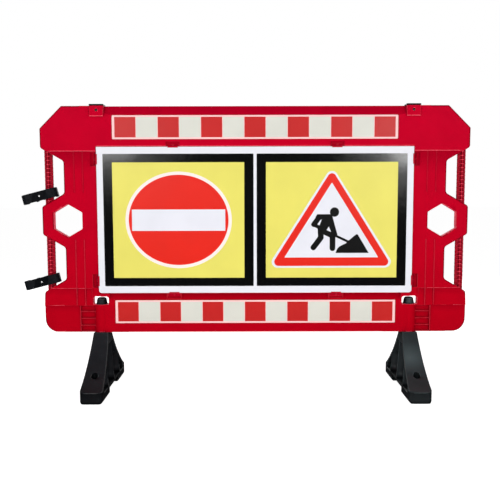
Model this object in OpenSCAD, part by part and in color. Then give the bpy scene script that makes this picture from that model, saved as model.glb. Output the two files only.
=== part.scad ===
// Pedestrian barrier panel
// A moulded panel with a sign board stands on two swivelling feet, and two
// clips on its left side bars couple it to the next panel in a row.
// The front faces -Y, +Z is up and the ground is at z = 0.

/* [Panel moulding] */
// Width of the panel
panel_w = 1500; // [1490:5:1560]
// Height of the moulding
panel_h = 795; // [790:1:810]
// Clear height under the moulding
ground_gap = 207; // [195:1:215]
// Thickness of the head and base beams
beam_t = 40; // [39:1:44]
// Height of the head and base beams
beam_h = 156; // [152:1:158]
// Thickness of the side columns and the field
column_t = 28; // [27:1:30]
// Thickness of the front skin and of the ribs on the back
skin_t = 4; // [3.5:0.5:5]
// Cut of the two top corners
top_chamfer = 77; // [60:1:85]
// Radius of the two bottom corners
bottom_radius = 46; // [30:1:50]
// Number of rib bays across the back
bay_columns = 8; // [6:1:10]
// Number of rib bays up the field
bay_rows = 4; // [3:1:5]

/* [Hand holes and side bars] */
// Width of a hand hole across its upright flats
hand_hole_w = 100; // [90:1:104]
// Width of the collar above and below a hand hole
collar_w = 38.5; // [37:0.5:42]
// Distance of a hand hole's middle from the panel's side
hand_inset = 91; // [89:1:95]
// Depth of the notches in the sides
notch_depth = 79; // [76:1:82]
// Height of a notch's outer corner above or below the middle
notch_shoulder = 254; // [250:1:258]
// Slope of the notches and collars from the level
notch_slope = 30; // [28:1:32]
// Diameter of the side bars
bar_d = 30; // [28:0.5:30.5]
// Distance of a bar's axis from the panel's side
bar_inset = 25; // [22:1:28]
// Pitch of the discs along a bar
disc_pitch = 14; // [12:1:20]
// Thickness of a bar's discs
disc_t = 2.5; // [2:0.5:4]

/* [Sign board and strips] */
// Width of the sign board
board_w = 1110; // [1080:5:1115]
// Height of the sign board
board_h = 514; // [500:1:516]
// Thickness of the sign board
board_t = 4; // [3:0.5:5]
// Width of one sign sheet
sheet_w = 527; // [480:1:535]
// Height of one sign sheet
sheet_h = 465; // [440:1:480]
// Thickness of a sign sheet
sheet_t = 0.6; // [0.4:0.1:1]
// Gap between the two sign sheets
sheet_gap = 11; // [5:1:20]
// Length of a reflective strip
strip_w = 995; // [960:5:1000]
// Height of a reflective strip
strip_h = 82; // [78:1:84]
// Thickness of a strip's carrier
strip_t = 1.4; // [1:0.1:1.8]
// Number of squares on a strip
square_count = 13; // [9:2:15]
// Thickness of a reflective square
square_t = 0.4; // [0.3:0.1:0.5]
// Height of a strip's middle above or below the panel's middle
strip_offset = 324; // [322:0.5:325]

/* [Feet] */
// Distance of a foot's axis from the panel's middle
foot_x = 549; // [545:1:555]
// Length of a foot
foot_l = 430; // [400:5:460]
// Width of a foot at its toes
toe_w = 77; // [68:1:80]
// Height of a toe's end face
toe_h = 38; // [32:1:42]
// Width of a foot at its top
foot_top_w = 52; // [48:1:56]
// Length of a foot at its top
foot_top_l = 62; // [58:1:70]
// Radius of the hollow flanks
flank_radius = 450; // [400:10:600]
// Length of the arch between the toes
arch_l = 166; // [140:2:176]
// Height of the arch
arch_h = 22; // [16:1:24]
// Diameter of the stem that turns in the socket
stem_d = 32.5; // [30:0.5:32.5]
// Diameter of the socket's bore
socket_d = 33; // [33:0.1:33.4]
// Diameter of the pin holes in the toes
pin_hole_d = 23; // [18:1:25]
// Distance between a foot's two pin holes
pin_hole_spacing = 294; // [280:2:310]

/* [Coupling clips] */
// Height of a clip
clip_h = 33; // [28:1:34]
// Depth of a clip from front to back
clip_t = 45; // [43:1:48]
// Length of a clip's eye
eye_l = 47; // [44:1:48]
// Width of a clip's eye
eye_w = 33; // [32:0.5:34]
// Width of the mouth behind each eye
mouth_w = 26; // [22:1:28]
// Drop of a clip's free end from the level
clip_tilt = 14.4; // [10:0.2:15]

/* [Lamp lugs] */
// Distance of a lamp lug from the panel's middle
lamp_x = 550; // [545:1:555]
// Width of a lamp lug
lamp_w = 47; // [44:1:50]
// Diameter of the bolt hole in a lamp lug
lamp_hole_d = 10; // [8:0.5:11]

/* [Hidden] */
$fn = 72;

panel_red = [0.78, 0.03, 0.15];
film_red = [0.8, 0.16, 0.15];
film_silver = [0.85, 0.85, 0.8];
carrier_pink = [0.98, 0.78, 0.78];
board_white = [0.93, 0.92, 0.94];
sheet_black = [0.08, 0.07, 0.08];
foot_black = [0.12, 0.13, 0.14];

half_w = panel_w / 2;
mid_z = ground_gap + panel_h / 2;
top_z = ground_gap + panel_h;
head_z = top_z - beam_h;
base_z = ground_gap + beam_h;
beam_y = beam_t / 2;
column_y = column_t / 2;
spare = 1;

// Side outline
hand_x = half_w - hand_inset;
collar_apothem = hand_hole_w / 2 + collar_w;
column_x = half_w - notch_depth;
bar_x = half_w - bar_inset;
bar_web_t = 10;
bar_rib_t = 4;
notch_rise = notch_depth * tan(notch_slope);
outer_round = 12;
inner_round = 14;
chamfer_round = 6;
hand_round = 8;

// Reliefs on the front of the columns and base corners
bead_w = 3;
bead_y = column_y + 2;
bead_xs = [604, 634.5];
bead_ends = [mid_z - 67, mid_z + 100];
lap_depth = 4;
lap_z = ground_gap + 95;
rib_h = 4;
rib_pitch = 25;
rib_drop = 19.5;
pocket_x = [foot_x + 10, foot_x + 74];
pocket_depth = 8;
pocket_ribs = 3;

// Board bay, clip pockets and strip recesses
bay_gap = 1.5;
recess_depth = 2;
clip_pocket_l = 48;
clip_pocket_w = 17;
clip_pocket_depth = 9;
top_clip_x = 287;
side_clip_dz = 214;
board_y = -column_y;
board_round = 10;
strip_y = -beam_y + recess_depth;

// Sockets and windows for the feet
boss_d = 50;
window_w = 56;
window_z = [ground_gap + 99, ground_gap + 127.5];
window_round = 8;

// Roof of the head between the lamp lugs
roof_half = foot_x - lamp_w / 2 - spare;
roof_z = mid_z + strip_offset + strip_h / 2 + 2;
ridge_y = 3;
sill_y = 6;
sill_half = foot_x - window_w / 2 - skin_t;
sill_z = mid_z - strip_offset + strip_h / 2 + 2;

// Lamp lugs and caps
lamp_h = 36;
lamp_y = beam_y + 6;
lamp_hole_z = top_z - 14.5;
cap_w = 50;
cap_h = 5.5;
cap_socket = [32, 24, 9];
cap_gap = 0.2;

// Feet
foot_top_z = ground_gap - 0.4;
web_t = 6;
flange_t = 9;
toe_round = 16;
sole_cut = 6;
foot_ribs = [-105, 0, 105];
rib_t = 4;
pin_boss_d = pin_hole_d + 10;
snap_d = 40;
snap_top_d = 33;
snap_lead = 4;
snap_z = [window_z[0] + 0.6, window_z[0] + 23.5];
snap_slot = 5;

// Coupling clips
clip_hole_d = 6;
clip_round = 20;
eye_round = 15;
eye_pitch = 72;
eye_wall = 4.5;
clip_mid = 34;
bridge_t = 8;
bridge_recess = 2;
bridge_l = 55;
clip_lift = 31;
clip_l = eye_pitch + eye_l + 2 * eye_wall;
clip_reach = (clip_mid + clip_l / 2) * cos(clip_tilt) + clip_h / 2 * sin(clip_tilt);

// The box of the whole part is centred on the origin, so the panel stands
// half the clips' overhang to the right.
shift_x = (bar_x + clip_reach - half_w) / 2;

function unit(v) = v / norm(v);
function turn(p, i) = cross(p[i] - p[(i + len(p) - 1) % len(p)], p[(i + 1) % len(p)] - p[i]);
function flipped(p) = [for (i = [len(p) - 1:-1:0]) [-p[i][0], p[i][1]]];
function backwards(v) = [for (i = [len(v) - 1:-1:0]) v[i]];

// Height above the middle of the collar's sloping side at a distance x
function collar_rise(x) = (collar_apothem - (x - hand_x) * sin(notch_slope)) / cos(notch_slope);

// Centre, to the left of the chord, of an arc of radius r from p to q
function arc_centre(p, q, r) =
    let (chord = q - p, side = unit([-chord[1], chord[0]]))
    (p + q) / 2 + side * sqrt(r * r - chord * chord / 4);

// The corner between two edges, less the circle that rounds it
module corner_patch(points, i, r) {
    n = len(points);
    p = points[i];
    a = unit(points[(i + n - 1) % n] - p);
    b = unit(points[(i + 1) % n] - p);
    inward = unit(a + b);
    half = acos(a * b) / 2;
    difference() {
        polygon([p - inward * spare, p + a * r / tan(half), p + b * r / tan(half)]);
        translate(p + inward * r / sin(half)) circle(r);
    }
}

// A polygon, listed counterclockwise, with each corner rounded by its own radius
module rounded(points, radii) {
    corners = [0:len(points) - 1];
    difference() {
        union() {
            polygon(points);
            for (i = corners) if (turn(points, i) < 0 && radii[i] > 0) corner_patch(points, i, radii[i]);
        }
        for (i = corners) if (turn(points, i) > 0 && radii[i] > 0) corner_patch(points, i, radii[i]);
    }
}

module rounded_box(x, y, r) {
    points = [[x[0], y[0]], [x[1], y[0]], [x[1], y[1]], [x[0], y[1]]];
    rounded(points, [r, r, r, r]);
}

// Stands a front outline up, from depth y[0] to y[1]
module standing(y) {
    translate([0, y[1], 0]) rotate([90, 0, 0]) linear_extrude(y[1] - y[0]) children();
}

// Carries a side profile, drawn in y and z, from x[0] to x[1]
module across(x) {
    translate([x[0], 0, 0]) rotate([90, 0, 90]) linear_extrude(x[1] - x[0]) children();
}

module block(x, y, z) {
    translate([x[0], y[0], z[0]]) cube([x[1] - x[0], y[1] - y[0], z[1] - z[0]]);
}

module both_sides() {
    children();
    mirror([1, 0, 0]) children();
}

module placed() {
    translate([shift_x, 0, 0]) children();
}

// Front outline of the moulding
right_side = [
    [half_w, ground_gap],
    [half_w, mid_z - notch_shoulder],
    [column_x, mid_z - notch_shoulder + notch_rise],
    [column_x, mid_z - collar_rise(column_x)],
    [half_w, mid_z - collar_rise(half_w)],
    [half_w, mid_z + collar_rise(half_w)],
    [column_x, mid_z + collar_rise(column_x)],
    [column_x, mid_z + notch_shoulder - notch_rise],
    [half_w, mid_z + notch_shoulder],
    [half_w, top_z - top_chamfer],
    [half_w - top_chamfer, top_z]
];
right_rounds = [
    bottom_radius, outer_round, inner_round, inner_round, outer_round,
    outer_round, inner_round, inner_round, outer_round, chamfer_round, chamfer_round
];

module outline() {
    rounded(concat(right_side, flipped(right_side)), concat(right_rounds, backwards(right_rounds)));
}

module hand_hole() {
    r = hand_hole_w / 2 / cos(30);
    corners = [for (i = [0:5]) [hand_x + r * sin(-60 * i), mid_z + r * cos(-60 * i)]];
    rounded(corners, [for (i = corners) hand_round]);
}

module head_face() {
    intersection() {
        outline();
        translate([-panel_w, head_z]) square([2 * panel_w, beam_h + spare]);
    }
}

// Beads on the front of one column and the rib beside its base pocket
module column_beads() {
    depth = [-bead_y, lap_depth - column_y + spare];
    for (x = bead_xs) {
        width = [x - bead_w / 2, x + bead_w / 2];
        block(width, depth, [bead_ends[1], head_z + spare]);
        block(width, depth, [lap_z + spare, bead_ends[0]]);
    }
    block([pocket_x[1] - bead_w / 2, pocket_x[1] + bead_w / 2], depth, [ground_gap, lap_z]);
}

// Wedges cut from one base corner, so that each face laps over the top of the next
module corner_laps() {
    for (lap = [[foot_x + window_w / 2 + rib_h, lap_z, base_z], [pocket_x[1], ground_gap, lap_z]])
        across([lap[0], panel_w]) polygon([
            [-column_y - spare, lap[1]], [-column_y, lap[1]],
            [lap_depth - column_y, lap[2]], [-column_y - spare, lap[2]]
        ]);
}

// Recess beside a socket, left standing in ribs
module rib_pocket() {
    for (i = [0:pocket_ribs]) {
        low = lap_z - rib_drop - i * rib_pitch;
        block(pocket_x, [-bead_y - spare, -column_y + pocket_depth],
            [max(ground_gap + rib_h, low), min(lap_z - spare, low + rib_pitch - bead_w)]);
    }
}

// Slopes that shed water from the top of the head, front and back
module roof_cut() {
    profile = [
        [-beam_y - spare, roof_z - spare], [-ridge_y, top_z],
        [-ridge_y, top_z + spare], [-beam_y - spare, top_z + spare]
    ];
    across([-roof_half, roof_half]) {
        polygon(profile);
        mirror([1, 0]) polygon(profile);
    }
}

// Slope on the base's front between the board and the lower strip, deeper beside the clips
module sill_cut() {
    bay_z = mid_z - board_h / 2 - bay_gap;
    across([-sill_half, sill_half]) polygon([
        [-beam_y - spare, sill_z], [-beam_y, sill_z], [board_y, bay_z], [board_y, base_z + spare],
        [-beam_y - spare, base_z + spare]
    ]);
    pad = clip_pocket_l / 2 + skin_t;
    spans = [
        [-sill_half, -top_clip_x - pad], [pad - top_clip_x, top_clip_x - pad], [top_clip_x + pad, sill_half]
    ];
    for (x = spans) across(x) polygon([
        [-beam_y - spare, sill_z], [-beam_y, sill_z], [-sill_y, bay_z - skin_t], [-sill_y, bay_z],
        [-beam_y - spare, bay_z]
    ]);
}

// Bay for the board on the front, with a pocket for each clip at its edge
module board_bay() {
    bay_x = board_w / 2 + bay_gap;
    bay_z = board_h / 2 + bay_gap;
    front = -beam_y - spare;
    block([-bay_x, bay_x], [front, board_y], [mid_z - bay_z, mid_z + bay_z]);
    for (x = [-top_clip_x, top_clip_x])
        block([x - clip_pocket_l / 2, x + clip_pocket_l / 2], [front, board_y],
            [mid_z - bay_z - clip_pocket_w, mid_z + bay_z + clip_pocket_w]);
    both_sides() for (z = [mid_z - side_clip_dz, mid_z + side_clip_dz])
        block([bay_x - 2 * spare, bay_x + clip_pocket_w + 3], [front, board_y + clip_pocket_depth],
            [z - clip_pocket_l / 2, z + clip_pocket_l / 2]);
}

module strip_recesses() {
    for (z = [mid_z - strip_offset, mid_z + strip_offset])
        block([-strip_w / 2 - 2, strip_w / 2 + 2], [-beam_y - spare, strip_y],
            [z - strip_h / 2 - bay_gap, z + strip_h / 2 + bay_gap]);
}

// One rib bay cut from the back down to the front skin
module back_bay(x, z, floor_y) {
    standing([floor_y, beam_y + spare]) rounded_box(x, z, 6);
}

module back_bays() {
    field_half = foot_x - boss_d / 2 - 2 * skin_t;
    pitch_x = 2 * field_half / bay_columns;
    pitch_z = (head_z - base_z) / bay_rows;
    floor_y = -column_y + skin_t;
    for (i = [0:bay_columns - 1]) {
        x = [-field_half + i * pitch_x + skin_t / 2, -field_half + (i + 1) * pitch_x - skin_t / 2];
        for (j = [0:bay_rows - 1])
            back_bay(x, [base_z + j * pitch_z + skin_t / 2, base_z + (j + 1) * pitch_z - skin_t / 2], floor_y);
        back_bay(x, [head_z + skin_t, roof_z - 2 * skin_t], floor_y);
        back_bay(x, [ground_gap + 2 * skin_t, sill_z - skin_t], floor_y);
        back_bay(x, [sill_z, base_z - skin_t], skin_t - sill_y);
    }
    column_bay = [foot_x + 38, column_x - 2 * skin_t];
    both_sides() {
        back_bay(column_bay, [mid_z + collar_rise(hand_x), head_z - skin_t], floor_y);
        back_bay(column_bay, [base_z + skin_t, mid_z - collar_rise(hand_x)], floor_y);
        back_bay([pocket_x[1] + skin_t, half_w - bottom_radius / 2],
            [ground_gap + bottom_radius / 2, mid_z - notch_shoulder - 2 * skin_t], floor_y + lap_depth);
        end_z = [head_z + 4 * skin_t, top_z - 4 * skin_t];
        end_x = [lamp_x + lamp_w, half_w - 2 * skin_t];
        cut = top_chamfer;
        end_points = [
            [end_x[0], end_z[0]], [end_x[1], end_z[0]], [end_x[1], end_z[1] - cut + 2 * skin_t],
            [end_x[1] - cut + 2 * skin_t, end_z[1]], [end_x[0], end_z[1]]
        ];
        standing([floor_y, beam_y + spare]) rounded(end_points, [for (p = end_points) 6]);
    }
}

// Bore, window and lamp hole on one side
module side_openings() {
    standing([-beam_t, beam_t]) hand_hole();
    translate([foot_x, 0, ground_gap - spare]) cylinder(d = socket_d, h = window_z[0] - ground_gap + 2 * spare);
    window_x = [foot_x - window_w / 2, foot_x + window_w / 2];
    window_points = [
        [window_x[0], window_z[0]], [window_x[1], window_z[0]],
        [window_x[1], window_z[1]], [window_x[0], window_z[1]]
    ];
    standing([-beam_t, beam_t]) rounded(window_points, [3, 3, window_round, window_round]);
    translate([lamp_x, beam_t, lamp_hole_z]) rotate([90, 0, 0]) cylinder(d = lamp_hole_d, h = 2 * beam_t);
    block([lamp_x - cap_socket[0] / 2, lamp_x + cap_socket[0] / 2],
        [-cap_socket[1] / 2, cap_socket[1] / 2], [top_z - cap_socket[2], top_z + spare]);
}

module panel() {
    color(panel_red) placed() difference() {
        union() {
            difference() {
                standing([-column_y, column_y]) outline();
                both_sides() {
                    corner_laps();
                    rib_pocket();
                }
            }
            standing([-beam_y, beam_y]) head_face();
            block([-foot_x, foot_x], [-beam_y, beam_y], [ground_gap, base_z]);
            both_sides() {
                column_beads();
                translate([foot_x, 0, ground_gap]) cylinder(d = boss_d, h = window_z[0] - ground_gap);
                block([lamp_x - lamp_w / 2, lamp_x + lamp_w / 2], [-lamp_y, 0], [top_z - lamp_h, top_z]);
            }
        }
        board_bay();
        strip_recesses();
        roof_cut();
        sill_cut();
        back_bays();
        both_sides() side_openings();
    }
}

// Upright bar in one notch: spaced discs on crossed webs, cut to the slopes it stands on.
// side is 1 on the right and -1 on the left, level is 1 above the hand hole and -1 below.
module side_bar(side, level) {
    low = collar_rise(half_w);
    discs = floor((notch_shoulder - low) / disc_pitch);
    color(panel_red) placed() intersection() {
        translate([side * bar_x, 0, mid_z]) {
            for (i = [0:discs])
                translate([0, 0, level * (low + disc_pitch * (i + 0.5)) - disc_t / 2])
                    cylinder(d = bar_d, h = disc_t);
            intersection() {
                translate([0, 0, level > 0 ? 0 : -notch_shoulder]) cylinder(d = bar_d - 1, h = notch_shoulder);
                union() {
                    block([-bar_d, bar_d], [-bar_web_t / 2, bar_web_t / 2], [-notch_shoulder, notch_shoulder]);
                    block([-bar_rib_t / 2, bar_rib_t / 2], [-bar_d, bar_d], [-notch_shoulder, notch_shoulder]);
                }
            }
        }
        standing([-bar_d, bar_d]) polygon([
            [side * column_x, mid_z + level * collar_rise(column_x)],
            [side * half_w, mid_z + level * collar_rise(half_w)],
            [side * half_w, mid_z + level * notch_shoulder],
            [side * column_x, mid_z + level * (notch_shoulder - notch_rise)]
        ]);
    }
}

module left_upper_bar() { side_bar(-1, 1); }
module left_lower_bar() { side_bar(-1, -1); }
module right_upper_bar() { side_bar(1, 1); }
module right_lower_bar() { side_bar(1, -1); }

module sign_board() {
    color(board_white) placed() standing([board_y - board_t, board_y])
        translate([0, mid_z]) rounded(
            [for (corner = [[-1, -1], [1, -1], [1, 1], [-1, 1]]) [corner[0] * board_w / 2, corner[1] * board_h / 2]],
            [board_round, board_round, spare, spare]
        );
}

module sign_sheet(side) {
    inner = side * sheet_gap / 2;
    outer = side * (sheet_gap / 2 + sheet_w);
    front = board_y - board_t;
    color(sheet_black) placed() standing([front - sheet_t, front])
        rounded_box([min(inner, outer), max(inner, outer)], [mid_z - sheet_h / 2, mid_z + sheet_h / 2], 2);
}

module left_sign_sheet() { sign_sheet(-1); }
module right_sign_sheet() { sign_sheet(1); }

// Clip that holds one edge of the board, drawn with the edge along x and
// the board below it, on a pocket floor that lies floor_y behind the bay's floor.
module board_clip(floor_y) {
    plate_l = clip_pocket_l - 6;
    plate_w = clip_pocket_w - 5;
    plate_t = 2;
    lip = 3;
    pip_d = 7;
    clear = 0.3;
    wall_y = board_t + floor_y + clear;
    standing([-plate_t, 0]) rounded_box([-plate_l / 2, plate_l / 2], [clear, plate_w], 3);
    block([-plate_l / 2 + 3, plate_l / 2 - 3], [-wall_y - 1.2, -plate_t / 2], [clear, clear + plate_t]);
    block([-plate_l / 2 + 3, plate_l / 2 - 3], [-wall_y - 1.2, -wall_y], [-lip, clear + plate_t]);
    translate([0, 0, plate_w / 2 + 1]) rotate([90, 0, 0]) cylinder(d = pip_d, h = plate_t + 2.5);
}

module board_clips() {
    edge_z = board_h / 2;
    color(panel_red) placed() {
        for (x = [-top_clip_x, top_clip_x]) {
            translate([x, board_y, mid_z + edge_z]) board_clip(0);
            translate([x, board_y, mid_z - edge_z]) rotate([0, 180, 0]) board_clip(0);
        }
        both_sides() for (z = [mid_z - side_clip_dz, mid_z + side_clip_dz])
            translate([board_w / 2, board_y + clip_pocket_depth, z]) rotate([0, 90, 0])
                board_clip(clip_pocket_depth);
    }
}

// Carrier of one strip, in its recess
module strip(level) {
    z = mid_z + level * strip_offset;
    color(carrier_pink) placed() standing([strip_y - strip_t, strip_y])
        rounded_box([-strip_w / 2, strip_w / 2], [z - strip_h / 2, z + strip_h / 2], 3);
}

// Every other square of one strip, from the square numbered first
module squares(level, first) {
    border = 8;
    edge = 6;
    gap = 2;
    pitch = (strip_w - 2 * border) / square_count;
    height = strip_h - 2 * edge;
    front = strip_y - strip_t;
    z = mid_z + level * strip_offset;
    for (i = [first:2:square_count - 1])
        block([border - strip_w / 2 + i * pitch + gap / 2, border - strip_w / 2 + (i + 1) * pitch - gap / 2],
            [front - square_t, front], [z - height / 2, z + height / 2]);
}

module top_strip() { strip(1); }
module bottom_strip() { strip(-1); }
module top_red_squares() { color(film_red) placed() squares(1, 0); }
module top_silver_squares() { color(film_silver) placed() squares(1, 1); }
module bottom_red_squares() { color(film_red) placed() squares(-1, 0); }
module bottom_silver_squares() { color(film_silver) placed() squares(-1, 1); }

// Circles, in y and z, that hollow both flanks of a foot; inset takes them further in
module flank_circles(inset) {
    centre = arc_centre([foot_top_l / 2, foot_top_z], [foot_l / 2, toe_h], flank_radius);
    for (side = [-1, 1])
        translate([side * centre[0], centre[1]]) circle(flank_radius + inset, $fn = 240);
}

// Front outline of what is cut from one side of a foot, so that its legs taper upwards
module foot_taper() {
    slope = (toe_w - foot_top_w) / 2 / (foot_top_z - toe_h);
    polygon([
        [foot_top_w / 2 - slope * spare, foot_top_z + spare],
        [toe_w / 2 + slope * spare, toe_h - spare],
        [toe_w, toe_h - spare], [toe_w, foot_top_z + spare]
    ]);
}

// Upright block with round corners, cut to the flanks, the taper, the arch and the soles' edges
module foot_blank() {
    difference() {
        linear_extrude(foot_top_z)
            rounded_box([-toe_w / 2, toe_w / 2], [-foot_l / 2, foot_l / 2], toe_round);
        across([-toe_w, toe_w]) flank_circles(0);
        both_sides() {
            standing([-foot_l, foot_l]) foot_taper();
            standing([-foot_l, foot_l]) polygon([
                [toe_w / 2 - sole_cut - spare, -spare], [toe_w / 2 + spare, -spare],
                [toe_w / 2 + spare, sole_cut + spare]
            ]);
        }
        block([-toe_w, toe_w], [-arch_l / 2, arch_l / 2], [-spare, arch_h]);
    }
}

// Hollows in a foot's sides, between the flanges, the ribs and the top block
module foot_hollows() {
    floor_z = arch_h + flange_t;
    ceiling_z = foot_top_z - 38;
    difference() {
        translate([-foot_l / 2 + toe_h, floor_z]) square([foot_l - 2 * toe_h, ceiling_z - floor_z]);
        flank_circles(flange_t);
        for (y = foot_ribs) translate([y - rib_t / 2, 0]) square([rib_t, foot_top_z]);
    }
}

module foot(side) {
    pin_holes = [-pin_hole_spacing / 2, pin_hole_spacing / 2];
    color(foot_black) placed() translate([side * foot_x, 0, 0]) difference() {
        union() {
            difference() {
                foot_blank();
                for (x = [[-toe_w, -web_t / 2], [web_t / 2, toe_w]]) across(x) foot_hollows();
            }
            difference() {
                for (y = pin_holes) translate([0, y, arch_h]) cylinder(d = pin_boss_d, h = foot_top_z / 2);
                across([-toe_w, toe_w]) flank_circles(flange_t / 2);
            }
            translate([0, 0, foot_top_z - spare]) cylinder(d = stem_d, h = snap_z[0] - foot_top_z + 2 * spare);
            translate([0, 0, snap_z[0]])
                cylinder(d1 = snap_d, d2 = snap_top_d, h = snap_z[1] - snap_lead - snap_z[0]);
            translate([0, 0, snap_z[1] - snap_lead])
                cylinder(d1 = snap_top_d, d2 = snap_top_d - 2 * snap_lead, h = snap_lead);
        }
        for (y = pin_holes) translate([0, y, -spare]) cylinder(d = pin_hole_d, h = foot_top_z);
        block([-snap_d, snap_d], [-snap_slot / 2, snap_slot / 2], [snap_z[0] - 40, snap_z[1] + spare]);
    }
}

module left_foot() { foot(-1); }
module right_foot() { foot(1); }

// Clip drawn level, with its own bar at the origin and its free end towards -X:
// two open rings on one plate, which is thinner between them
module level_clip() {
    mid = -clip_mid;
    front = -clip_t / 2;
    eyes = [mid - eye_pitch / 2, mid + eye_pitch / 2];
    ring_l = eye_l / 2 + eye_wall;
    translate([0, 0, -clip_h / 2]) difference() {
        linear_extrude(clip_h) difference() {
            union() {
                for (x = eyes) rounded_box([x - ring_l, x + ring_l], [front, -front], clip_round);
                translate([eyes[0], front]) square([eye_pitch, bridge_t]);
            }
            for (x = eyes) {
                rounded_box([x - eye_l / 2, x + eye_l / 2], [-eye_w / 2, eye_w / 2], eye_round);
                translate([x - mouth_w / 2, 0]) square([mouth_w, clip_t]);
            }
        }
        block([mid - bridge_l / 2, mid + bridge_l / 2], [front - spare, front + bridge_recess],
            [-spare, clip_h + spare]);
        translate([mid, 0, clip_h / 2]) rotate([90, 0, 0]) cylinder(d = clip_hole_d, h = clip_t);
    }
}

// Clip hung on the left bar, resting just clear of the slope whose height on the bar is given
module coupling_clip(slope_z) {
    color(foot_black) placed() translate([-bar_x, 0, slope_z + clip_lift])
        rotate([0, -clip_tilt, 0]) level_clip();
}

module upper_clip() { coupling_clip(mid_z + collar_rise(bar_x)); }
module lower_clip() { coupling_clip(mid_z - notch_shoulder + bar_inset * tan(notch_slope)); }

// Cap that closes the socket behind a lamp lug
module lamp_cap(side) {
    x = side * lamp_x;
    plug = [for (size = cap_socket) size / 2 - cap_gap];
    color(foot_black) placed() {
        translate([0, 0, top_z]) linear_extrude(cap_h)
            rounded_box([x - cap_w / 2, x + cap_w / 2], [-lamp_y - spare, beam_y], 4);
        block([x - plug[0], x + plug[0]], [-plug[1], plug[1]],
            [top_z - cap_socket[2] + cap_gap, top_z + cap_h / 2]);
    }
}

module left_lamp_cap() { lamp_cap(-1); }
module right_lamp_cap() { lamp_cap(1); }

panel();
left_upper_bar();
left_lower_bar();
right_upper_bar();
right_lower_bar();
sign_board();
left_sign_sheet();
right_sign_sheet();
board_clips();
top_strip();
top_red_squares();
top_silver_squares();
bottom_strip();
bottom_red_squares();
bottom_silver_squares();
left_foot();
right_foot();
upper_clip();
lower_clip();
left_lamp_cap();
right_lamp_cap();
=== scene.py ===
"""Looks of a pedestrian barrier panel: a red moulding with a sign board, two feet and two coupling clips.

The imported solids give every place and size. This script rounds their edges, prints the signs and gives each
piece its finish, then sets up a plain pale studio.
"""

import logging
import math
from dataclasses import dataclass, field, replace
from enum import Enum
from functools import cache, cached_property, partial
from typing import Callable, Iterator, Sequence

import bmesh
import bpy
import numpy as np
from mathutils import Matrix, Vector


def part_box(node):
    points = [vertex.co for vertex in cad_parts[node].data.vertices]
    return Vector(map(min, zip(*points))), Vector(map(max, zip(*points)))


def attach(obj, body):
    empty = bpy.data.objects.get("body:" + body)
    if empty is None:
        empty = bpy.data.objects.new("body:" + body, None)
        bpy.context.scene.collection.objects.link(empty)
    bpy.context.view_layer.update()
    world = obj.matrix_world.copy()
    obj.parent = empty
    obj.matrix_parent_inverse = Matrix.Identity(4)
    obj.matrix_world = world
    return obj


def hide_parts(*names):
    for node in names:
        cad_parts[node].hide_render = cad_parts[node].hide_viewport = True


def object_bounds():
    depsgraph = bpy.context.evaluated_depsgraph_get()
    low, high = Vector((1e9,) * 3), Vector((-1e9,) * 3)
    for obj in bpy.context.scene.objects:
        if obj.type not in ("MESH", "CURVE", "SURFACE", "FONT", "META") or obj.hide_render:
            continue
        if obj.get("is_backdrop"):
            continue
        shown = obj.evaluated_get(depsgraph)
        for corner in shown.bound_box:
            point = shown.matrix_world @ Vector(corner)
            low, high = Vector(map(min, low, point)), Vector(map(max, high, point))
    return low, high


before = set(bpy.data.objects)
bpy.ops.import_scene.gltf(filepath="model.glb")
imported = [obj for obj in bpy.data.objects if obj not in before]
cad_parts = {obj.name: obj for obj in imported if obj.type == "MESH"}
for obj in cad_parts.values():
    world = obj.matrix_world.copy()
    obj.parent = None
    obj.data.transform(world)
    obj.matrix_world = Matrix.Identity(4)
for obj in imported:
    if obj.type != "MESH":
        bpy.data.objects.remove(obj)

LOG = logging.getLogger("barrier")
MM = 0.001
CAD_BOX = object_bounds()
PANEL_MIDDLE = sum(corner.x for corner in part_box("panel")) / 2
SIDES = "left", "right"
WHITE = 1.0, 1.0, 1.0, 1.0

# The mark that faces carry, from -1 for painted shade to 1 for worn pale or painted highlight
EDGE_ATTRIBUTE = "edge_wear_and_light"
# The span that most values of a soft noise lie in
NOISE_SPAN = 0.3, 0.7
# The distance between stripes of a wave texture at a scale of 1
WAVE_PITCH = math.pi / 10
# How much of a face's normal lies along an axis when the face counts as facing that way
FACING = 0.9

Colour = tuple[float, float, float]
Span = tuple[float, float]
# A plane across an axis: the axis's number and the plane's place on it
Cut = tuple[int, float]
# What a node's input takes: a value or another node's output
Input = object
Socket = bpy.types.NodeSocket
Piece = bpy.types.Object
Edge = bmesh.types.BMEdge
Mesh = bmesh.types.BMesh
Material = bpy.types.Material
# Picks faces by the rows of their centres and normals
FaceTest = Callable[[np.ndarray, np.ndarray], np.ndarray]


class Body(str, Enum):
    """The bodies that a piece can ride on."""

    BARRIER = "barrier"
    LEFT_FOOT = "left_foot"
    RIGHT_FOOT = "right_foot"
    UPPER_CLIP = "upper_clip"
    LOWER_CLIP = "lower_clip"


class Slot(str, Enum):
    """The record's material slots; settle is given one for each new piece but does not use it."""

    MOULDING = "red_moulding"
    BOARD = "white_board"
    SHEET = "printed_sheet"
    CARRIER = "strip_carrier"
    BLACK = "black_moulding"


def linear(colour: Colour, light: float = 1.0) -> tuple[float, float, float, float]:
    """Turns an sRGB colour of 0 to 255 into linear light with full alpha.

    Args:
        colour: red, green and blue, 0 to 255.
        light: the share of its light that is kept.

    Returns:
        Linear red, green, blue and an alpha of 1.
    """
    share = np.asarray(colour, float) / 255
    low = share / 12.92
    high = ((share + 0.055) / 1.055) ** 2.4
    return (*(np.where(share <= 0.04045, low, high) * light).tolist(), 1.0)


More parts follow.
